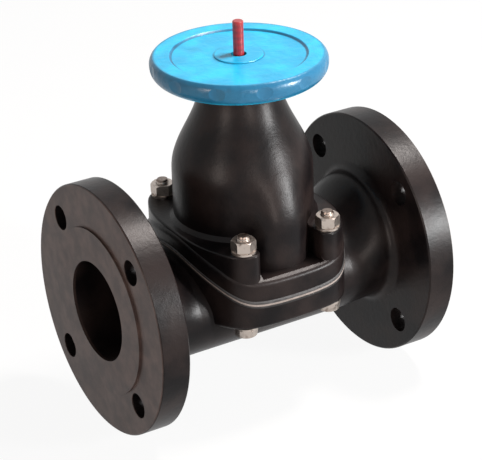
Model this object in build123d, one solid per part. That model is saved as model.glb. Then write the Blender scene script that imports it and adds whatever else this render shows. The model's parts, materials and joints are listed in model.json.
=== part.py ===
from build123d import *
import math
import os

# Pipe ends
flange_d = 190.5
flange_t = 23.9
face_to_face = 254.0
raised_d = 127.0
raised_h = 1.6
bore_d = 76.2
flange_hole_d = 19.05
flange_hole_edge = 19.05
bolt_circle_d = flange_d - 2 * flange_hole_edge
flange_holes = 4
pipe_d = 100.0
neck_fillet = 7.0
rim_chamfer = 1.0
axis_height = flange_d / 2

# Clearances
seat_gap = 0.15
slip_gap = 0.15
run_gap = 0.05
thread_gap = 0.3
hole_gap = 0.75

# Bonnet bolts
bolt_x = 36.0
bolt_y = 59.0
bolt_r = 5.0
hex_af = 16.0
hex_chamfer = 1.0
head_h = 6.4
nut_h = 8.4
washer_r = 9.0
washer_t = 1.6
bolt_tail = 3.2

# Arched joint of body and bonnet
joint_half_x = 63.0
joint_edge_y = 14.0
joint_half_y = bolt_y + joint_edge_y
joint_power = 3.0
plan_points = 48
swell = 2.0
swell_spread = 0.2
arch_r = 111.0
arch_top = 31.0
arch_centre = arch_top - arch_r
rubber_t = 4.0
rubber_proud = 0.6
opening_half_x = 50.0
opening_half_y = 46.0

# Body block and passage
block_bottom = -12.4
block_round = 3.0
neck_top = 27.0
neck_bolt_space = 1.5
neck_half_y = bolt_y - washer_r - neck_bolt_space
neck_start_x = 66.0
neck_end_x = 96.0
wall_t = 9.0
lift = 28.0
crest_z = arch_top - lift
crest_half = 5.0
weir_half = 44.0
weir_hip = 0.45
weir_hip_z = -14.0

# Bonnet
flange_plate_t = 11.0
plate_round = 4.0
ledge_edge_y = 69.0
ledge_z = arch_centre + math.sqrt((arch_r + rubber_t + flange_plate_t) ** 2 - ledge_edge_y ** 2)
pad_z = 47.0
pad_round = 1.5
pad_inset = 2.0
pad_swell = 3.5
pocket_half_x = 26.0
pillar_round = 7.0
dome_r = 52.5
dome_root = 3.0
dome_straight_z = 84.0
bonnet_top = 150.0
bonnet_top_r = 30.5
bell_points = 40
lobe_reach = 11.0
lobe_spread = 0.40
lobe_straight_z = 56.0
lobe_top = 104.0
bonnet_wall = 7.5
cavity_top = 122.0
cavity_top_r = 22.0
cavity_roof = 108.0
guide_t = 4.0
guide_w = 18.0
guide_y = 46.0
guide_low = 30.0
guide_high = 64.0

# Drive sleeve and its bearings
sleeve_r = 14.0
sleeve_bottom = 104.0
sleeve_top = 165.0
thread_top = 134.0
collar_r = 20.0
collar_t = 5.0
low_washer_t = 3.0
top_washer_t = 2.0
top_washer_r = 24.0
ring_groove = 0.9
ring_t = 1.6
ring_r = 16.4
ring_mouth = 7.0
seal_r = 1.05
seal_z = 142.0
seal_groove = 2.3
seal_groove_w = 2.8
seal_space = 0.1
key_w = 5.0
key_l = 6.0

# Spindle, compressor and indicator
spindle_r = 8.0
spindle_top = 150.0
spindle_bottom = 52.0
compressor_half_x = 7.0
compressor_half_y = 42.0
compressor_top = 64.0
hub_r = 15.0
hub_top = 74.0
rib_half_x = 34.0
rib_half_y = 4.0
pin_r = 2.5
pin_z = 68.0
rod_r = 4.0
rod_top = 197.5
rod_depth = 12.0
jam_af = 13.0
jam_h = 4.0
stud_r = 4.0
stud_top = 49.0
stud_head_r = 9.0
stud_head_t = 2.0
button_r = 12.0
button_h = 2.0

# Handwheel
wheel_r = 65.0
wheel_bottom = 156.7
wheel_mid = 165.0
wheel_bottom_r = 59.5
wheel_lip_r = 62.3
wheel_lip_z = 172.7
wheel_disc_r = 49.2
wheel_disc_z = 171.3
wheel_web_t = 5.0
rim_inner_r = 52.0
flute_count = 12
flute_r = 26.0
flute_depth = 0.9
wheel_hub_r = 23.0
wheel_ribs = 6
rib_t = 4.0
cap_r = 18.0
cap_seat_r = 16.9
cap_seat_z = 166.3
cap_top = 172.2
cap_hole_r = 5.7


def joint_plan(grow=0.0, swelling=swell):
    """Plan outline of the joint: sides that bulge a little and a swelling round each bolt, as a face."""
    bolt_turn = math.atan2(bolt_y, bolt_x)
    points = []
    for i in range(plan_points):
        t = 2 * math.pi * i / plan_points
        c = abs(math.cos(t))
        s = abs(math.sin(t))
        r = ((c / joint_half_x) ** joint_power + (s / joint_half_y) ** joint_power) ** (-1 / joint_power)
        off = (math.atan2(s, c) - bolt_turn) / swell_spread
        r += swelling * math.exp(-off ** 2) + grow
        points.append((r * math.cos(t), r * math.sin(t)))
    return make_face(Spline(points, periodic=True))


def along_x(radius, length, centre_z=0.0, centre_x=0.0):
    """Cylinder whose axis runs along the pipe."""
    return Pos(centre_x, 0, centre_z) * Rot(0, 90, 0) * Cylinder(radius, length)


def upright(radius, z0, z1, x=0.0, y=0.0):
    """Cylinder whose axis stands upright, from z0 to z1."""
    return Pos(x, y, z0) * Cylinder(radius, z1 - z0, align=(Align.CENTER, Align.CENTER, Align.MIN))


def ring(outer, inner, z0, z1, x=0.0, y=0.0):
    """Upright ring from z0 to z1."""
    return upright(outer, z0, z1, x, y) - upright(inner, z0 - 1, z1 + 1, x, y)


def prism(flat, z0, z1, x=0.0, y=0.0):
    """Upright hexagon from z0 to z1, its flats facing along the pipe."""
    hexagon = RegularPolygon(flat / 2, 6, major_radius=False, rotation=30)
    return extrude(Pos(x, y, z0) * hexagon, z1 - z0)


def bolt_spots():
    """Plan positions of the bonnet bolts."""
    return [(sx * bolt_x, sy * bolt_y) for sx in (-1, 1) for sy in (-1, 1)]


def neck_loft(half_mid, half_end, top_mid, x_mid, x_end):
    """One pipe end: an oval at the middle that becomes round towards the flange."""
    low = -half_end
    faces = []
    for i in range(5):
        u = i / 4
        x = x_mid + (x_end - x_mid) * u
        rise = u * u * (3 - 2 * u)
        top = top_mid + (half_end - top_mid) * rise
        half_y = half_mid + (half_end - half_mid) * rise
        oval = Ellipse((top - low) / 2, half_y)
        faces.append(Pos(x, 0, (top + low) / 2) * Rot(0, 90, 0) * oval)
    return loft(faces)


def pipe_run(neck, radius):
    """Both pipe ends: the neck carried on to the middle as an oval and outwards as a cylinder."""
    low_x = neck.bounding_box().min.X
    high_x = neck.bounding_box().max.X
    run = neck + extrude(neck.faces().sort_by(Axis.X)[0], low_x)
    run += along_x(radius, face_to_face / 2 - high_x, 0, (face_to_face / 2 + high_x) / 2)
    return run + mirror(run, Plane.YZ)


def passage():
    """Everything that is open inside the body, with the seat left standing."""
    bore_r = bore_d / 2
    roof = neck_top - wall_t + 2
    space = pipe_run(neck_loft(bore_r, bore_r, roof, joint_half_x, neck_end_x + 6), bore_r)
    chamber = extrude(Pos(0, 0, -8) * Ellipse(opening_half_x, opening_half_y), 80)
    space += chamber
    rise = arch_centre + math.sqrt(arch_r ** 2 - opening_half_y ** 2) - crest_z
    seat_r = (opening_half_y ** 2 + rise ** 2) / (2 * rise)
    foot_z = -bore_r - 6
    flank = Spline((crest_half, crest_z), (weir_half * weir_hip, weir_hip_z), (weir_half, foot_z),
                   tangents=((0.6, -1), (1, -0.25)))
    outline = flank + Line((weir_half, foot_z), (-weir_half, foot_z))
    outline += mirror(flank, Plane.YZ)
    outline += Polyline((-crest_half, crest_z), (-crest_half, arch_top - 1), (crest_half, arch_top - 1),
                        (crest_half, crest_z))
    weir = extrude(Plane.XZ * make_face(outline), opening_half_y + 4, both=True)
    weir -= along_x(seat_r, 4 * weir_half, crest_z + seat_r)
    return (space - weir).solids().sort_by(SortBy.VOLUME)[-1]


def body_casting():
    """Flanged body with its arched joint face, weir and through holes."""
    half = face_to_face / 2
    block = extrude(Pos(0, 0, block_bottom) * joint_plan(), arch_top - block_bottom)
    block = block & along_x(arch_r, face_to_face, arch_centre)
    lower = [e for e in block.edges() if abs(e.center().Z - block_bottom) < 0.1]
    block = fillet(lower, block_round)
    neck = neck_loft(neck_half_y, pipe_d / 2, neck_top, neck_start_x, neck_end_x)
    body = block + pipe_run(neck, pipe_d / 2)
    for side in (-1, 1):
        rim = along_x(flange_d / 2, flange_t - raised_h, 0, side * (half - (flange_t + raised_h) / 2))
        rim = chamfer(rim.edges(), rim_chamfer)
        face = along_x(raised_d / 2, raised_h + 1, 0, side * (half - (raised_h + 1) / 2))
        body += rim + face
    body -= passage()
    for side in (-1, 1):
        for i in range(flange_holes):
            t = math.radians(360 * (i + 0.5) / flange_holes)
            y = bolt_circle_d / 2 * math.cos(t)
            z = bolt_circle_d / 2 * math.sin(t)
            body -= Pos(0, y, z) * along_x(flange_hole_d / 2, 2.5 * flange_t, 0, side * half)
    for x, y in bolt_spots():
        body -= upright(bolt_r + hole_gap, block_bottom - 1, arch_top, x, y)
    back = half - flange_t
    roots = [e for e in body.edges() if e.geom_type == GeomType.CIRCLE
             and abs(e.radius - pipe_d / 2) < 0.01 and abs(abs(e.center().X) - back) < 0.1]
    hole_edge = (bolt_circle_d - flange_hole_d) / 2
    return fillet(roots, min(neck_fillet, hole_edge - pipe_d / 2 - seat_gap))


def diaphragm():
    """Arched rubber sheet with a button round the moulded-in stud."""
    sheet = extrude(Pos(0, 0, block_bottom) * joint_plan(rubber_proud), arch_top + rubber_t - block_bottom)
    outer = along_x(arch_r + rubber_t - seat_gap, face_to_face, arch_centre)
    inner = along_x(arch_r + seat_gap, face_to_face, arch_centre)
    sheet = sheet & (outer - inner)
    top = arch_top + rubber_t
    sheet += upright(button_r, arch_top + 1, top + button_h)
    sheet -= upright(stud_head_r + thread_gap, arch_top + 0.8, arch_top + 0.8 + stud_head_t + 2 * thread_gap)
    sheet -= upright(stud_r + thread_gap, arch_top + 1, top + button_h + 1)
    for x, y in bolt_spots():
        sheet -= upright(bolt_r + hole_gap, -60, 60, x, y)
    return sheet


def diaphragm_stud():
    """Threaded stud with a flat head held in the rubber."""
    low = arch_top + 0.8 + thread_gap
    stud = upright(stud_head_r, low, low + stud_head_t) + upright(stud_r, low, stud_top)
    return stud


def bell_radius(z):
    """Radius of the bell's round part at a height: upright, then a smooth shoulder to the top."""
    if z <= dome_straight_z:
        return dome_r
    share = math.cos(math.pi / 2 * (z - dome_straight_z) / (bonnet_top - dome_straight_z)) ** 2
    return bonnet_top_r + (dome_r - bonnet_top_r) * share


def lobe_height(z):
    """How far the bell bulges out towards the compressor's ends at a height."""
    u = min(max((z - lobe_straight_z) / (lobe_top - lobe_straight_z), 0.0), 1.0)
    return lobe_reach * (1 - u * u * (3 - 2 * u))


def bell(inset, top, steps):
    """Loft of the bell, or of the room inside it: each level is a circle with two soft bulges."""
    levels = []
    for i in range(steps + 1):
        z = top * i / steps
        points = []
        for k in range(bell_points):
            t = 2 * math.pi * k / bell_points
            off = abs(abs(t - math.pi) - math.pi / 2)
            bulge = lobe_height(z) * math.exp(-(off / lobe_spread) ** 3)
            r = bell_radius(z) + bulge - inset
            points.append((r * math.cos(t), r * math.sin(t)))
        levels.append(Pos(0, 0, z) * make_face(Spline(points, periodic=True)))
    return loft(levels)


def foot_ring():
    """Slope between the bell and the raised ends of the flange."""
    inside = dome_r - dome_root
    edge = Polyline((dome_r + dome_root, pad_z), (inside, pad_z + 2 * dome_root), (inside, pad_z), close=True)
    slope = revolve(Plane.XZ * make_face(edge), Axis.Z)
    return slope - Pos(0, 0, pad_z) * Box(2 * pocket_half_x, 3 * joint_half_y, 5 * dome_root)


def pads():
    """The two raised ends of the bonnet's flange that carry the nuts."""
    plan = joint_plan(-pad_inset, pad_swell) - Rectangle(2 * pocket_half_x, 3 * joint_half_y)
    corners = [v for v in plan.vertices() if abs(abs(v.X) - pocket_half_x) < 0.1]
    solid = extrude(fillet(corners, pillar_round), pad_z)
    tops = solid.faces().sort_by(Axis.Z)[-2:]
    return fillet(tops[0].edges() + tops[1].edges(), pad_round)


def bonnet():
    """Bell-shaped bonnet on an arched flange whose raised ends carry the nuts."""
    column = extrude(Pos(0, 0, block_bottom) * joint_plan(), pad_z - block_bottom)
    plate = column & along_x(arch_r + rubber_t + flange_plate_t, face_to_face, arch_centre)
    rims = [e for e in plate.edges() if e.bounding_box().max.Z > ledge_z - 8 and e.length > 30]
    plate = fillet(rims, plate_round)
    plate -= Pos(0, 0, ledge_z + pad_z / 2) * Box(2 * pocket_half_x, 3 * joint_half_y, pad_z)
    shape = plate + pads() + bell(0, bonnet_top, 15)
    shape += foot_ring()
    shape -= along_x(arch_r + rubber_t, face_to_face, arch_centre)
    shape -= bell(bonnet_wall, cavity_roof, 11)
    shape -= upright(cavity_top_r, cavity_roof - 5, cavity_top)
    guide_x = compressor_half_x + thread_gap + guide_t / 2
    guide = Pos(0, 0, (guide_low + guide_high) / 2) * Box(guide_t, guide_w, guide_high - guide_low)
    for sx in (-1, 1):
        for sy in (-1, 1):
            shape += Pos(sx * guide_x, sy * guide_y, 0) * guide
    shape -= upright(sleeve_r + run_gap, cavity_top - 1, bonnet_top + 1)
    for x, y in bolt_spots():
        shape -= upright(bolt_r + hole_gap, block_bottom, pad_z + 1, x, y)
    return shape


def bonnet_bolts():
    """Four hexagon bolts put in from below, as one group."""
    solids = []
    for x, y in bolt_spots():
        seat = block_bottom - washer_t
        tip = pad_z + washer_t + nut_h + bolt_tail
        shank = chamfer(upright(bolt_r, seat - 1, tip).edges().sort_by(Axis.Z)[-1], bolt_r / 6)
        solids.append(prism(hex_af, seat - head_h, seat, x, y) + Pos(x, y, 0) * shank)
    return Compound(children=solids)


def washers(z0):
    """Four washers of the bonnet bolts, as one group."""
    top = z0 + washer_t
    return Compound(children=[ring(washer_r, bolt_r + thread_gap, z0, top, x, y) for x, y in bolt_spots()])


def bonnet_nuts():
    """Four hexagon nuts with chamfered corners, as one group."""
    solids = []
    seat = pad_z + washer_t
    for x, y in bolt_spots():
        nut = prism(hex_af, seat, seat + nut_h, x, y)
        blank = chamfer(upright(hex_af / math.sqrt(3), seat, seat + nut_h, x, y).edges(), hex_chamfer)
        solids.append((nut & blank) - upright(bolt_r + slip_gap, seat - 1, seat + nut_h + 1, x, y))
    return Compound(children=solids)


def drive_sleeve():
    """Bronze sleeve: collar below the bonnet's shoulder, nut thread inside, wheel seat on top."""
    collar_top = cavity_top - low_washer_t
    sleeve = upright(sleeve_r, sleeve_bottom, sleeve_top)
    sleeve += upright(collar_r, collar_top - collar_t, collar_top)
    sleeve -= upright(spindle_r + thread_gap, sleeve_bottom - 1, thread_top)
    sleeve -= upright(spindle_r + 1, thread_top, sleeve_top + 1)
    ring_z = bonnet_top + top_washer_t + hub_step()
    sleeve -= ring(sleeve_r + 1, sleeve_r - ring_groove, ring_z, ring_z + ring_t + 0.1)
    sleeve -= ring(sleeve_r + 1, sleeve_r - seal_groove, seal_z - seal_groove_w / 2, seal_z + seal_groove_w / 2)
    sleeve -= key_block(slip_gap)
    return sleeve


def hub_step():
    """Height of the handwheel's hub from its underside to the face below the retaining ring."""
    return 8.0


def key_block(grow=0.0):
    """Parallel key between sleeve and handwheel."""
    low = bonnet_top + top_washer_t + 1
    return Pos(0, -sleeve_r, low + key_l / 2) * Box(key_w + 2 * grow, key_w + 2 * grow, key_l + 2 * grow)


def handwheel():
    """Shallow fluted handwheel: disc, rim with a raised lip, hub and ribs underneath."""
    low = bonnet_top + top_washer_t
    side = Spline((wheel_bottom_r, wheel_bottom), (wheel_r, wheel_mid), (wheel_lip_r, wheel_lip_z),
                  tangents=((1, 0.55), (-0.8, 0.6)))
    under_z = wheel_disc_z - wheel_web_t
    rest = Polyline((wheel_lip_r, wheel_lip_z), (wheel_disc_r + 1.5, wheel_lip_z), (wheel_disc_r, wheel_disc_z),
                    (0, wheel_disc_z), (0, low), (wheel_hub_r, low), (wheel_hub_r, under_z),
                    (rim_inner_r, under_z), (rim_inner_r + 2, wheel_bottom), (wheel_bottom_r, wheel_bottom))
    wheel = revolve(Plane.XZ * make_face(side + rest), Axis.Z)
    for i in range(wheel_ribs):
        span = rim_inner_r - wheel_hub_r + 3
        rib = Pos((wheel_hub_r + rim_inner_r) / 2, 0, under_z - 3) * Box(span, rib_t, 7)
        wheel += Rot(0, 0, 60 * i + 30) * rib
    for i in range(flute_count):
        cut = upright(flute_r, wheel_bottom - 1, wheel_lip_z - 2, wheel_r + flute_r - flute_depth)
        wheel -= Rot(0, 0, 360 * (i + 0.5) / flute_count) * cut
    wheel -= upright(sleeve_r + slip_gap, low - 1, wheel_lip_z)
    wheel -= upright(cap_seat_r, low + hub_step(), wheel_lip_z)
    wheel -= upright(cap_r + slip_gap, cap_seat_z, wheel_lip_z + 1)
    return wheel - key_block(slip_gap)


def retaining_ring():
    """Open spring ring in the sleeve's groove."""
    z0 = bonnet_top + top_washer_t + hub_step()
    clip = ring(ring_r, sleeve_r - ring_groove + 0.1, z0, z0 + ring_t)
    return clip - Pos(0, ring_r, z0) * Box(ring_mouth, ring_r, 4 * ring_t)


def hub_cap():
    """Cap in the middle of the handwheel with the hole that the indicator rises through."""
    cap = upright(cap_r, cap_seat_z, cap_top)
    cap = fillet(cap.edges().sort_by(Axis.Z)[-1], 0.8)
    cap -= upright(cap_hole_r, cap_seat_z - 1, cap_top + 1)
    return cap


def sleeve_o_ring():
    """Seal in the sleeve's groove."""
    return Pos(0, 0, seal_z) * Torus(sleeve_r - seal_groove + seal_space + seal_r, seal_r)


def lower_thrust_washer():
    """Washer between the sleeve's collar and the bonnet's shoulder."""
    return ring(collar_r, sleeve_r + thread_gap, cavity_top - low_washer_t, cavity_top)


def upper_thrust_washer():
    """Washer between the bonnet and the handwheel's hub."""
    return ring(top_washer_r, sleeve_r + thread_gap, bonnet_top, bonnet_top + top_washer_t)


def spindle():
    """Threaded spindle, cross-drilled for the compressor pin and tapped for the indicator."""
    stem = chamfer(upright(spindle_r, spindle_bottom + thread_gap, spindle_top).edges(), 1)
    stem -= upright(rod_r + slip_gap, spindle_top - rod_depth - 1, spindle_top + 1)
    return stem - along_x(pin_r + slip_gap, 60, pin_z)


def compressor():
    """Follower that presses the diaphragm on the seat: a curved beam, a hub and two fingers."""
    rise = arch_centre + math.sqrt(arch_r ** 2 - opening_half_y ** 2) - crest_z
    seat_r = (opening_half_y ** 2 + rise ** 2) / (2 * rise)
    press_r = seat_r - rubber_t - thread_gap
    centre = crest_z + seat_r + lift
    beam = Pos(0, 0, compressor_top - 20) * Box(2 * compressor_half_x, 2 * compressor_half_y, 40)
    fingers = Pos(0, 0, compressor_top - 20) * Box(2 * rib_half_x, 2 * rib_half_y, 40)
    fingers = fingers & Pos(0, 0, 62) * Rot(90, 0, 0) * Cylinder(38, 60)
    shape = beam + fingers + upright(hub_r, compressor_top - 26, hub_top)
    shape = shape & along_x(press_r, face_to_face, centre) + Pos(0, 0, hub_top) * Box(face_to_face, face_to_face, 40)
    shape -= upright(button_r + thread_gap, 0, arch_top + rubber_t + button_h + thread_gap)
    shape -= upright(stud_r + slip_gap, 0, stud_top + 1)
    shape -= upright(spindle_r + slip_gap, spindle_bottom, hub_top + 1)
    return shape - along_x(pin_r + slip_gap, 60, pin_z)


def compressor_pin():
    """Cross pin that holds the compressor on the spindle."""
    return along_x(pin_r, 2 * hub_r - 2, pin_z)


def indicator_rod():
    """Rod that rises through the handwheel and shows how far the valve is open."""
    rod = upright(rod_r, spindle_top - rod_depth, rod_top)
    return chamfer(rod.edges(), 0.5)


def indicator_jam_nut():
    """Thin nut that locks the indicator in the spindle."""
    nut = prism(jam_af, spindle_top, spindle_top + jam_h)
    return nut - upright(rod_r + slip_gap, spindle_top - 1, spindle_top + jam_h + 1)


def write(shape, node):
    """Puts the part on its flanges' lowest point and writes one node."""
    export_step(shape.moved(Location((0, 0, axis_height))), "parts/" + node + ".step")


os.makedirs("parts", exist_ok=True)
write(body_casting(), "body_casting")
write(diaphragm(), "diaphragm")
write(diaphragm_stud(), "diaphragm_stud")
write(bonnet(), "bonnet")
write(bonnet_bolts(), "bonnet_bolts")
write(washers(block_bottom - washer_t), "head_washers")
write(washers(pad_z), "nut_washers")
write(bonnet_nuts(), "bonnet_nuts")
write(drive_sleeve(), "drive_sleeve")
write(lower_thrust_washer(), "lower_thrust_washer")
write(upper_thrust_washer(), "upper_thrust_washer")
write(sleeve_o_ring(), "sleeve_o_ring")
write(handwheel(), "handwheel")
write(key_block(), "wheel_key")
write(retaining_ring(), "retaining_ring")
write(hub_cap(), "hub_cap")
write(spindle(), "spindle")
write(compressor(), "compressor")
write(compressor_pin(), "compressor_pin")
write(indicator_rod(), "indicator_rod")
write(indicator_jam_nut(), "indicator_jam_nut")
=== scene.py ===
"""Flanged diaphragm valve with a fluted handwheel, open, on a pale studio floor."""
import json
import math

import bmesh
import bpy
import numpy as np
from mathutils import Matrix, Vector


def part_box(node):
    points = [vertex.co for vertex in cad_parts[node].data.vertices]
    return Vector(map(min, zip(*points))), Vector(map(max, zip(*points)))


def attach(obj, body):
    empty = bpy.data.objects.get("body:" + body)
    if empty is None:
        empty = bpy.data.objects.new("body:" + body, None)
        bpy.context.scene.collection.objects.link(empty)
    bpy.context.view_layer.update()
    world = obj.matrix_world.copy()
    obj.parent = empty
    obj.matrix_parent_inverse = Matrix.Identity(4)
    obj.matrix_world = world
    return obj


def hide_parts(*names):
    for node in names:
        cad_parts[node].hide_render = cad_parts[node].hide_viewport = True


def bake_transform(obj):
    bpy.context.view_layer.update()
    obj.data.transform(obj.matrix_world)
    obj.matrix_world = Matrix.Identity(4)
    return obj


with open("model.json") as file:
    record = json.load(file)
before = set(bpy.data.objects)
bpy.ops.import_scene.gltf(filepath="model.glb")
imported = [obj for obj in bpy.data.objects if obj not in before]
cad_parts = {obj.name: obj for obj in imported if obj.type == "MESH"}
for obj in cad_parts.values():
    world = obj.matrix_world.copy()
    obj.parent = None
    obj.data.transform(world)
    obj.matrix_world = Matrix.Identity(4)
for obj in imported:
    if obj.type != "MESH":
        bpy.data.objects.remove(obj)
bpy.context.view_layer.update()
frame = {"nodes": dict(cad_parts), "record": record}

nodes = frame["nodes"]
FULL_TURN = 2 * math.pi

# Pipe ends
AXIS_Z = 0.09525              # height of the pipe axis over the floor
FACE_X = 0.127                # distance of a raised face from the middle
FLANGE_X = FACE_X - 0.0016    # distance of the flange's own face
BORE_R = 0.0381

# Bonnet bolts, put in from below
BOLT_SPOTS = [(side_x * 0.036, side_y * 0.059) for side_x in (-1, 1) for side_y in (-1, 1)]
BOLT_R = 0.005
HEX_AF = 0.016
HEAD_H = 0.0064
THREAD_PITCH = 0.0015
THREAD_DEPTH = 0.0009
THREAD_L = 0.026
THREAD_RUN_IN = 0.001         # the thread deepens over this height
THREAD_ROWS = 10              # rows of points in one turn of the thread
EDGE_STEP = 1e-5              # keeps the shank's first row apart from the head's top
ROW_STEP = 0.0002             # plain shank below the first row of the thread
TIP_BEVEL = 0.0012            # height of the bevel at the bolt's tip
TIP_R = 0.0039
BOLT_SIDES = 72
STAIN_LOW_Z = 0.1525          # stains come in between these heights, over the nuts' tops and the tips
STAIN_HIGH_Z = 0.1545

# Diaphragm: clamped between two cylinders about an axis along the pipe
ARCH_CENTRE = AXIS_Z - 0.080
SHEET_LOW_R = 0.11115
SHEET_HIGH_R = 0.11485
SHEET_OPEN_R = 0.0462         # the sheet is free to bend inside this radius
BUTTON_R = 0.012
BUTTON_H = 0.002
STUD_R = 0.0043
SEAT_R = 0.0675               # radius of the hollow weir
SECTORS = 24
SECTOR_SPANS = 4
SHEET_SPANS = 15
BUTTON_SPANS = 5
CUTTER_H = 0.3                # tall enough to pass through the whole sheet

# Handwheel
RIM_INNER_R = 0.0600          # painted shade on the rim's side begins between these radii
RIM_OUTER_R = 0.0632
GROOVE_R = 0.0495             # groove at the edge of the wheel's disc
HUB_RING_R = 0.0185

# Studio
LAMP_AIM_Z = 0.13             # the lamps point at this height on the valve's upright axis
FLOOR_SIDE = 12


# Meshes
def grid_quads(rows, cols, wrap=False):
    """Corner numbers of the quads between neighbouring rows and columns of a grid of points."""
    i = np.arange(rows - 1)[:, None]
    j = np.arange(cols if wrap else cols - 1)[None, :]
    k = (j + 1) % cols
    corners = [i * cols + j, i * cols + k, (i + 1) * cols + k, (i + 1) * cols + j]
    return np.stack(np.broadcast_arrays(*corners), -1).reshape(-1, 4)


def merge_doubles(mesh, outwards=False):
    """Joins points that lie together and, where asked, turns all faces outwards."""
    work = bmesh.new()
    work.from_mesh(mesh)
    bmesh.ops.remove_doubles(work, verts=work.verts, dist=1e-6)
    if outwards:
        bmesh.ops.recalc_face_normals(work, faces=work.faces)
    work.to_mesh(mesh)
    work.free()


def piece(name, points, quads, body, smooth=True):
    """A closed mesh from arrays of points and quads. It rides on the body, where one is given."""
    mesh = bpy.data.meshes.new(name)
    mesh.from_pydata(points.reshape(-1, 3).tolist(), [], quads.tolist())
    merge_doubles(mesh, outwards=True)
    mesh.polygons.foreach_set("use_smooth", [smooth] * len(mesh.polygons))
    obj = bpy.data.objects.new(name, mesh)
    bpy.context.collection.objects.link(obj)
    if body:
        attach(obj, body)
    return obj


# Bonnet bolts
def hexagon_radius(turn, across_flats):
    """Distance from a hexagon's centre to its edge: half the width over the cosine of the angle to a flat."""
    return across_flats / 2 / np.cos((turn + math.pi / 6) % (math.pi / 3) - math.pi / 6)


def bolt_surface(x, y, head_z, tip_z):
    """Hexagon bolt from its head's underside up to its tip, as a grid of heights by turns. The head's radius
    is the smaller of a hexagon and a cone. The thread's is a triangular wave of the height less a share of a
    turn: it deepens over its run-in, and the bevel at the tip cuts it off."""
    turn = np.linspace(0, FULL_TURN, BOLT_SIDES + 1)[:-1]
    z_head = head_z + HEAD_H * np.array([0.0, 0.0, 0.1, 0.97, 1.0, 1.0])[:, None]
    cone = HEX_AF / 2 * (0.9 + 0.35 * (z_head - head_z) / (HEAD_H * 0.3))
    r_head = np.minimum(hexagon_radius(turn, HEX_AF), cone)
    r_head[0] = 0
    r_head[-1] = BOLT_R
    thread_z = tip_z - THREAD_L
    z_shank = np.array([[head_z + HEAD_H + EDGE_STEP], [thread_z - ROW_STEP]])
    z_thread = np.arange(thread_z, tip_z - TIP_BEVEL, THREAD_PITCH / THREAD_ROWS)[:, None]
    saw = (z_thread / THREAD_PITCH - turn / FULL_TURN) % 1.0
    run_in = np.clip((z_thread - thread_z) / THREAD_RUN_IN, 0, 1)
    bevel = BOLT_R - THREAD_DEPTH + (tip_z - z_thread) * 0.8
    r_thread = np.minimum(BOLT_R - THREAD_DEPTH * np.abs(2 * saw - 1) * run_in, bevel)
    z_tip = np.array([[tip_z], [tip_z]])
    r_tip = np.array([[TIP_R], [0.0]])
    z = np.concatenate([z_head, z_shank, z_thread, z_tip]) + 0 * turn
    r = np.concatenate([r_head, BOLT_R + 0 * (z_shank + turn), r_thread, r_tip + 0 * turn])
    return np.stack([x + r * np.cos(turn), y + r * np.sin(turn), z], -1)


def threaded_bolts():
    """The four bonnet bolts as one piece, each one grid of height by turn."""
    low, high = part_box("bonnet_bolts")
    points, quads, count = [], [], 0
    for x, y in BOLT_SPOTS:
        grid = bolt_surface(x, y, low[2], high[2])
        points.append(grid.reshape(-1, 3))
        quads.append(grid_quads(grid.shape[0], grid.shape[1], wrap=True) + count)
        count += grid.shape[0] * grid.shape[1]
    bolts = piece("threaded_bolts", np.concatenate(points), np.concatenate(quads), "valve_body",
                  smooth=False)
    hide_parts("bonnet_bolts")
    return bolts


# Diaphragm
def arch_height(radius, y):
    """Height of a cylinder about the arch's axis: its centre plus the root of radius squared less y
    squared."""
    return ARCH_CENTRE + np.sqrt(radius ** 2 - y ** 2)


def slab(name, x, y, low, high, body):
    """Closed sheet over a patch: one grid of plan points, its underside at low and its top at high, the two
    surfaces and the four edges between them."""
    rows, cols = x.shape
    under = np.stack([x, y, low], -1).reshape(-1, 3)
    top = np.stack([x, y, high], -1).reshape(-1, 3)
    count = rows * cols
    quads = [grid_quads(rows, cols), grid_quads(rows, cols) + count]
    number = np.arange(count).reshape(rows, cols)
    for edge in (number[0], number[-1], number[:, 0], number[:, -1]):
        quads.append(np.stack([edge[:-1], edge[1:], edge[1:] + count, edge[:-1] + count], -1))
    return piece(name, np.concatenate([under, top]), np.concatenate(quads), body)


def flexing_sectors():
    """The free part of the diaphragm: equal sectors between the button and the clamped rim, with both
    surfaces on the arch's cylinders."""
    made = []
    share = np.linspace(0, 1, SHEET_SPANS + 1)[:, None]
    for i in range(SECTORS):
        turn = np.linspace(i, i + 1, SECTOR_SPANS + 1)[None, :] * FULL_TURN / SECTORS
        r = BUTTON_R + (SHEET_OPEN_R - BUTTON_R) * share
        x, y = r * np.cos(turn), r * np.sin(turn)
        sector = slab(f"diaphragm_sector_{i + 1:02d}", x, y, arch_height(SHEET_LOW_R, y),
                      arch_height(SHEET_HIGH_R, y), None)
        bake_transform(sector)
        made.append(sector)
    return made


def diaphragm_button():
    """Middle of the diaphragm with its button round the stud, carried by the compressor. The underside is
    hollowed like the weir it closes on: SEAT_R less the root of its square less y squared."""
    turn = np.linspace(0, FULL_TURN, SECTORS * SECTOR_SPANS + 1)[None, :]
    r = np.linspace(STUD_R, BUTTON_R, BUTTON_SPANS + 1)[:, None]
    x, y = r * np.cos(turn), r * np.sin(turn)
    high = arch_height(SHEET_HIGH_R, 0 * y) + BUTTON_H
    low = arch_height(SHEET_LOW_R, 0 * y) + SEAT_R - np.sqrt(SEAT_R ** 2 - y ** 2)
    return slab("diaphragm_button", x, y, low, high, "spindle_group")


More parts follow.
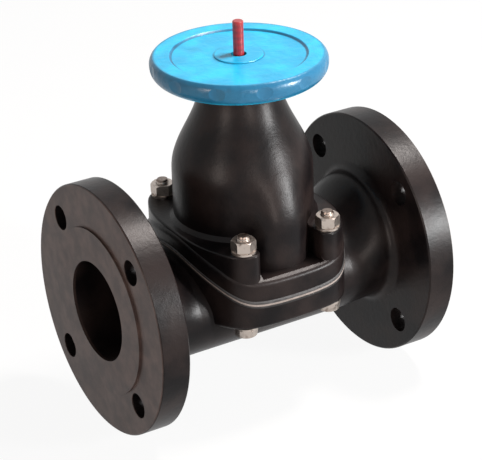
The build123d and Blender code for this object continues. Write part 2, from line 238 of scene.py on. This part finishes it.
def diaphragm_rim():
    """Clamped rim of the diaphragm, with its bolt holes: the solid's own mesh outside the free part."""
    rim = nodes["diaphragm"].copy()
    rim.data = nodes["diaphragm"].data.copy()
    rim.name = "diaphragm_rim"
    rim.parent = None
    rim.matrix_world = Matrix.Identity(4)
    bpy.context.collection.objects.link(rim)
    merge_doubles(rim.data)
    bpy.ops.mesh.primitive_cylinder_add(vertices=SECTORS * SECTOR_SPANS, radius=SHEET_OPEN_R, depth=CUTTER_H)
    cutter = bpy.context.object
    cut = rim.modifiers.new("opening", "BOOLEAN")
    cut.operation = "DIFFERENCE"
    cut.solver = "EXACT"
    cut.object = cutter
    mesh = bpy.data.meshes.new_from_object(rim.evaluated_get(bpy.context.evaluated_depsgraph_get()))
    rim.modifiers.clear()
    rim.data = mesh
    bpy.data.objects.remove(cutter)
    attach(rim, "valve_body")
    return rim


# Shader maths
class Value:
    """A shader socket; arithmetic on it adds Math nodes."""

    def __init__(self, shading, socket):
        self.shading = shading
        self.socket = socket

    def maths(self, operation, *others):
        sockets = dict(enumerate((self,) + others))
        return self.shading.node("ShaderNodeMath", {"operation": operation}, sockets)

    def __add__(self, other):
        return self.maths("ADD", other)

    def __sub__(self, other):
        return self.maths("SUBTRACT", other)

    def __rsub__(self, other):
        return self.maths("MULTIPLY_ADD", -1.0, other)

    def __mul__(self, other):
        return self.maths("MULTIPLY", other)

    def __pow__(self, other):
        return self.maths("POWER", other)

    __radd__ = __add__
    __rmul__ = __mul__

    def step(self, low, high):
        """0 below low, 1 above high, smooth between them."""
        return self.shading.node("ShaderNodeMapRange", {"interpolation_type": "SMOOTHSTEP"},
                                 {"Value": self, "From Min": low, "From Max": high})

    def band(self, middle, inner, outer):
        """1 within inner of middle, 0 past outer, smooth between them."""
        return 1 - (self - middle).maths("ABSOLUTE").step(inner, outer)

    def waves(self, pitch):
        """A sine wave from 0 to 1 that repeats at each pitch."""
        return (self * (FULL_TURN / pitch)).maths("SINE") * 0.5 + 0.5


def from_axis(first, second):
    """Distance from an axis, from the two coordinates across it."""
    return (first * first + second * second) ** 0.5


class Shading:
    """The nodes of a material or of the world."""

    def __init__(self, tree):
        self.tree = tree

    def node(self, kind, settings=None, sockets=None, out=0):
        """Adds one node: its settings first, then the values or links of its sockets."""
        made = self.tree.nodes.new(kind)
        for key, value in (settings or {}).items():
            setattr(made, key, value)
        for key, value in (sockets or {}).items():
            if isinstance(value, Value):
                self.tree.links.new(value.socket, made.inputs[key])
            else:
                made.inputs[key].default_value = value
        return Value(self, made.outputs[out])

    def seen(self):
        """1 for what the camera sees, also in a reflection or through glass, and 0 for what gives light."""
        straight = self.node("ShaderNodeLightPath", out="Is Camera Ray")
        rays = straight.socket.node.outputs
        mirrored = straight.maths("MAXIMUM", Value(self, rays["Is Glossy Ray"]))
        return mirrored.maths("MAXIMUM", Value(self, rays["Is Transmission Ray"]))

    def show(self, output, share, first, second):
        """Sends a mix of two shaders to the output node."""
        mixed = self.node("ShaderNodeMixShader", None, {0: share, 1: first, 2: second})
        self.tree.links.new(mixed.socket, self.tree.nodes[output].inputs[0])


class Finish(Shading):
    """A material and the nodes that feed its shader."""

    def __init__(self, name, **constants):
        self.material = bpy.data.materials.new(name)
        self.material.use_nodes = True
        super().__init__(self.material.node_tree)
        self.shader = self.tree.nodes["Principled BSDF"]
        for socket, value in constants.items():
            self.shader.inputs[socket.replace("_", " ")].default_value = value
        self.spot = self.node("ShaderNodeTexCoord", out="Object")
        self.normal = None

    def noise(self, size, detail=3.0):
        """Cloudy noise whose patches are about size metres across."""
        sockets = {"Vector": self.spot, "Scale": 1 / size, "Detail": detail}
        return self.node("ShaderNodeTexNoise", None, sockets)

    def place(self):
        """The three coordinates of the point, as values."""
        parts = self.node("ShaderNodeSeparateXYZ", None, {0: self.spot})
        return [Value(self, output) for output in parts.socket.node.outputs]

    def mix(self, share, first, second):
        """Colour between first and second."""
        return self.node("ShaderNodeMix", {"data_type": "RGBA"}, {0: share, 6: first, 7: second}, out=2)

    def feed(self, socket, value):
        """Links a value to one of the shader's sockets."""
        self.tree.links.new(value.socket, self.shader.inputs[socket])

    def relief(self, height, depth):
        """Adds a bump: height is a value from 0 to 1, depth what 1 means in metres."""
        sockets = {"Height": height, "Distance": depth, "Strength": 1.0}
        if self.normal:
            sockets["Normal"] = self.normal
        self.normal = self.node("ShaderNodeBump", None, sockets)

    def done(self):
        """The material, with its bumps linked."""
        if self.normal:
            self.feed("Normal", self.normal)
        return self.material


def colour(red, green, blue):
    """Linear colour from values of 0 to 255 as a screen shows them."""
    values = [c / 255 for c in (red, green, blue)]
    return tuple(c / 12.92 if c <= 0.04045 else ((c + 0.055) / 1.055) ** 2.4 for c in values) + (1.0,)


# Finishes
def coated_iron():
    """Satin black coating on cast iron: sand grain, soft warm patches, turned lines on the pipe flanges, and
    painted light on the flange faces, whose base colour is a lighter brown-grey.
    """
    f = Finish("coated_iron", Specular_IOR_Level=0.12)
    x, y, z = f.place()
    radius = from_axis(y, z - AXIS_Z)
    patches = f.noise(0.03, 4)
    grain = f.noise(0.0011, 3)
    pits = f.noise(0.0045, 2)
    outward = x.maths("ABSOLUTE")
    outside_bore = radius.step(BORE_R - 0.0005, BORE_R + 0.0005)
    faced = outward.step(FLANGE_X - 0.0008, FLANGE_X - 0.0002) * outside_bore
    cast = f.mix(patches.step(0.35, 0.7), colour(10, 8, 9), colour(28, 22, 21))
    # Painted light: the flange faces get a lighter brown-grey base colour, standing in for the warm light
    # that falls on them.
    face_painted_light = f.mix(f.noise(0.012, 3).step(0.3, 0.75), colour(50, 41, 39), colour(72, 60, 56))
    f.feed("Base Color", f.mix(faced, cast, face_painted_light))
    f.feed("Roughness", 0.25 + patches * 0.12 + grain * 0.08)
    f.relief(grain * (1 - faced * 0.75), 0.00006)
    f.relief(pits * (1 - faced * 0.85), 0.00012)
    f.relief((radius.waves(0.0009) - 0.5) * outward.step(FLANGE_X - 0.0002, FLANGE_X + 0.0002), 0.00002)
    return f.done()


def zinc_plate():
    """Bright zinc with small brownish stains, most of them on the nuts' tops and the bolt tips."""
    f = Finish("zinc_plate", Metallic=1.0)
    z = f.place()[2]
    stains = f.noise(0.004, 4).step(0.5, 0.75) * 0.6 + z.step(STAIN_LOW_Z, STAIN_HIGH_Z) * 0.6
    f.feed("Base Color", f.mix(stains.maths("MINIMUM", 1.0), colour(172, 162, 154), colour(66, 44, 32)))
    f.feed("Roughness", 0.26 + f.noise(0.0015, 3) * 0.22)
    f.relief(f.noise(0.0009, 2), 0.00008)
    return f.done()


def wheel_paint():
    """Glossy sky-blue of the handwheel, slightly uneven, with painted shade on the rim's outer face and at
    the disc's groove and hub ring.
    """
    f = Finish("wheel_paint", Specular_IOR_Level=0.3, Coat_Weight=0.12, Coat_Roughness=0.12)
    x, y = f.place()[:2]
    radius = from_axis(x, y)
    patches = f.noise(0.02, 4)
    paint_blue = f.mix(patches.step(0.35, 0.7), colour(0, 136, 176), colour(14, 158, 198))
    # Painted shade: the rim's outer face, turned away from the lamps, is darkened in the base colour.
    rim_side_painted_shade = radius.step(RIM_INNER_R, RIM_OUTER_R)
    # Painted shade: dark rings in the groove at the disc's edge and at the hub ring's step.
    ring_painted_shade = radius.band(GROOVE_R, 0.0006, 0.0013) + radius.band(HUB_RING_R, 0.0004, 0.0009) * 0.5
    painted_shade = (rim_side_painted_shade + ring_painted_shade).maths("MINIMUM", 1.0)
    # The dark blue here is the colour of the painted shade.
    f.feed("Base Color", f.mix(painted_shade * 0.85, paint_blue, colour(22, 66, 96)))
    f.feed("Roughness", 0.24 + patches * 0.2)
    f.relief(radius.waves(0.0016), 0.00003)
    f.relief(f.noise(0.006, 3), 0.0005)
    f.relief(f.noise(0.0012, 2), 0.00005)
    return f.done()


def indicator_paint():
    """Glossy red rod, a little darker in bands."""
    f = Finish("indicator_paint", Coat_Weight=0.3)
    z = f.place()[2]
    f.feed("Base Color", f.mix(z.waves(0.0045) * f.noise(0.004, 2), colour(138, 8, 12), colour(80, 4, 8)))
    f.feed("Roughness", 0.3 + f.noise(0.003, 2) * 0.15)
    return f.done()


def rubber_sheet():
    """Matt black rubber; its cut edge carries a pale painted sheen along the middle of the sheet's thickness.
    """
    f = Finish("rubber_sheet")
    y, z = f.place()[1:]
    grain = f.noise(0.0016, 3)
    # Painted highlight: a pale sheen band at mid-thickness, seen on the sheet's cut edge.
    painted_sheen_band = from_axis(y, z - ARCH_CENTRE).band((SHEET_LOW_R + SHEET_HIGH_R) / 2, 0.0003, 0.0008)
    painted_sheen_line = painted_sheen_band * (0.6 + 0.4 * f.noise(0.01, 3))
    f.feed("Base Color", f.mix(painted_sheen_line, colour(22, 19, 19), colour(128, 118, 112)))
    f.feed("Roughness", 0.5 + grain * 0.25)
    f.relief(grain, 0.0001)
    return f.done()


def turned_metal(name, dull, bright, rough):
    """Turned bare metal: fine rings along the upright axis and soft stains."""
    f = Finish(name, Metallic=1.0)
    z = f.place()[2]
    stains = f.noise(0.01, 4)
    f.feed("Base Color", f.mix(stains.step(0.35, 0.75), dull, bright))
    f.feed("Roughness", rough + stains * 0.2)
    f.relief(z.waves(0.0006), 0.000015)
    return f.done()


def bare_iron():
    """Grey iron as cast, with a coarse skin."""
    f = Finish("bare_iron", Metallic=0.6)
    skin = f.noise(0.0018, 4)
    f.feed("Base Color", f.mix(f.noise(0.01, 3), colour(70, 66, 62), colour(112, 106, 100)))
    f.feed("Roughness", 0.5 + skin * 0.3)
    f.relief(skin, 0.0004)
    return f.done()


# Dressing
def wear(obj, material):
    """Gives a piece one finish."""
    obj.data.materials.clear()
    obj.data.materials.append(material)


def dress_valve():
    """Makes the bolts and the diaphragm's pieces, and gives every piece the finish of its slot."""
    finishes = {
        "casting": coated_iron(),
        "zinc": zinc_plate(),
        "wheel_blue": wheel_paint(),
        "indicator_red": indicator_paint(),
        "rubber": rubber_sheet(),
        "stainless": turned_metal("stainless", colour(176, 176, 172), colour(204, 203, 198), 0.22),
        "bronze": turned_metal("bronze", colour(176, 132, 70), colour(202, 158, 92), 0.25),
        "bare_iron": bare_iron(),
    }
    wear(threaded_bolts(), finishes["zinc"])
    rim = diaphragm_rim()
    for part in [rim] + flexing_sectors() + [diaphragm_button()]:
        wear(part, finishes["rubber"])
    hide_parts("diaphragm")
    for entry in frame["record"]["subparts"]:
        if entry["node"] not in ("diaphragm", "bonnet_bolts"):
            wear(nodes[entry["node"]], finishes[entry["material_slot"]])


# Floor, light and camera
def studio_floor():
    """Pale floor that shows white to the camera but keeps the valve's shadow."""
    bpy.ops.mesh.primitive_plane_add(size=FLOOR_SIDE, location=(0, 0, 0))
    floor = bpy.context.object
    floor.name = "floor"
    f = Finish("floor_white", Roughness=0.9)
    shade = 0.6 + f.noise(0.4, 2) * 0.02
    f.feed("Base Color", f.mix(shade, (0, 0, 0, 1), (1, 1, 1, 1)))
    glow = f.node("ShaderNodeEmission", None, {"Color": (1, 1, 1, 1), "Strength": 1.0})
    f.show("Material Output", f.seen() * 0.92, Value(f, f.shader.outputs[0]), glow)
    floor.data.materials.append(f.done())


def studio_world():
    """White to the camera and in reflections, a faint grey as light."""
    world = bpy.data.worlds.new("studio")
    bpy.context.scene.world = world
    world.use_nodes = True
    faint = world.node_tree.nodes["Background"]
    faint.inputs["Color"].default_value = (0.95, 0.97, 1.0, 1)
    faint.inputs["Strength"].default_value = 0.06
    w = Shading(world.node_tree)
    white = w.node("ShaderNodeBackground", None, {"Color": (1, 1, 1, 1), "Strength": 1.0})
    w.show("World Output", w.seen(), Value(w, faint.outputs[0]), white)


def direction(azimuth, elevation):
    """Direction from the valve to a lamp or the camera. Azimuth 0 is the -Y side, 90 the +X side."""
    return Vector((math.sin(azimuth) * math.cos(elevation), -math.cos(azimuth) * math.cos(elevation),
                   math.sin(elevation)))


def soft_box(name, azimuth, elevation, distance, width, height, power, tint=(1, 1, 1)):
    """Rectangular lamp aimed at the middle of the valve, with its angles in degrees."""
    lamp = bpy.data.lights.new(name, "AREA")
    lamp.shape = "RECTANGLE"
    lamp.size = width
    lamp.size_y = height
    lamp.energy = power
    lamp.color = tint
    obj = bpy.data.objects.new(name, lamp)
    bpy.context.collection.objects.link(obj)
    away = direction(math.radians(azimuth), math.radians(elevation))
    obj.location = Vector((0, 0, LAMP_AIM_Z)) + away * distance
    obj.rotation_mode = "QUATERNION"
    obj.rotation_quaternion = away.to_track_quat("Z", "Y")


def photo_camera():
    """Camera at the photograph's viewing angle, worked out from the flanges and the handwheel."""
    azimuth, elevation, roll = (math.radians(d) for d in (-30.498, 26.223, -1.869))
    target = Vector((-0.00597, -0.00522, 0.12943))
    distance = 1.52525
    focal_px = 2041.5
    photo_width_px = 482
    back = direction(azimuth, elevation)
    right = (-back).cross(Vector((0, 0, 1))).normalized()
    up = right.cross(-back)
    turned_right = right * math.cos(roll) + up * math.sin(roll)
    turned_up = up * math.cos(roll) - right * math.sin(roll)
    data = bpy.data.cameras.new("camera")
    data.sensor_width = 36.0
    data.lens = focal_px * data.sensor_width / photo_width_px
    data.clip_start = 0.05
    data.clip_end = 50
    camera = bpy.data.objects.new("camera", data)
    bpy.context.collection.objects.link(camera)
    turn = Matrix((turned_right, turned_up, back)).transposed()
    camera.matrix_world = Matrix.Translation(target + back * distance) @ turn.to_4x4()
    bpy.context.scene.camera = camera


dress_valve()
studio_floor()
studio_world()
soft_box("key", azimuth=37, elevation=12, distance=1.6, width=0.16, height=0.42, power=44)
soft_box("top", azimuth=82, elevation=64, distance=1.5, width=0.36, height=0.26, power=46,
         tint=(1.0, 0.92, 0.88))
soft_box("left_fill", azimuth=-68, elevation=12, distance=1.8, width=0.4, height=0.7, power=14,
         tint=(1.0, 0.84, 0.76))
soft_box("front_fill", azimuth=-8, elevation=8, distance=1.8, width=0.35, height=0.7, power=12,
         tint=(1.0, 0.87, 0.8))
photo_camera()
bpy.context.scene.view_settings.view_transform = "Standard"
